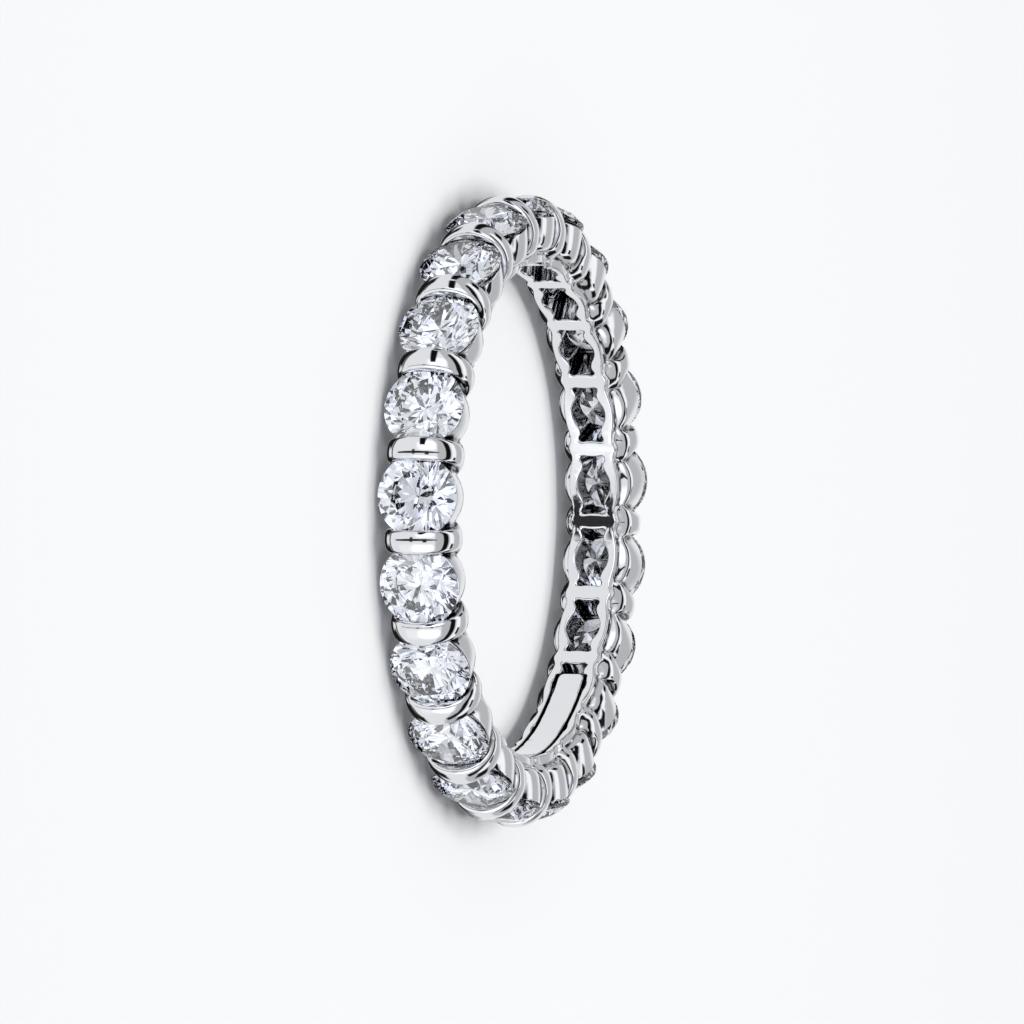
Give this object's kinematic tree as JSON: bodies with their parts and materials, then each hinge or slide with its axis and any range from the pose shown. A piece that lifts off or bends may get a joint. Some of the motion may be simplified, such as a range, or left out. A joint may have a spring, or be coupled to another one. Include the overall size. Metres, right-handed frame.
{
  "type": "eternity ring",
  "caption": "Full eternity ring of polished white metal: round brilliant cut stones all the way round, each held between domed transverse bars over an open inner rail.",
  "frame": {"origin": "on the ring's axis, at the level of the surface that the ring lies on", "axes": "+Z along the ring's axis, up from that surface; -Y towards the stone whose cup is nearest the viewer"},
  "size_m": [0.0218, 0.0217, 0.0028],
  "materials": {
    "metal": "mirror polished white gold",
    "stone": "clear, faceted and polished"
  },
  "bodies": {
    "root": {"band": "metal", "stone_01": "stone", "stone_02": "stone", "stone_03": "stone", "stone_04": "stone", "stone_05": "stone", "stone_06": "stone", "stone_07": "stone", "stone_08": "stone", "stone_09": "stone", "stone_10": "stone", "stone_11": "stone", "stone_12": "stone", "stone_13": "stone", "stone_14": "stone", "stone_15": "stone", "stone_16": "stone", "stone_17": "stone", "stone_18": "stone", "stone_19": "stone", "stone_20": "stone", "stone_21": "stone"}
  },
  "joints": []
}
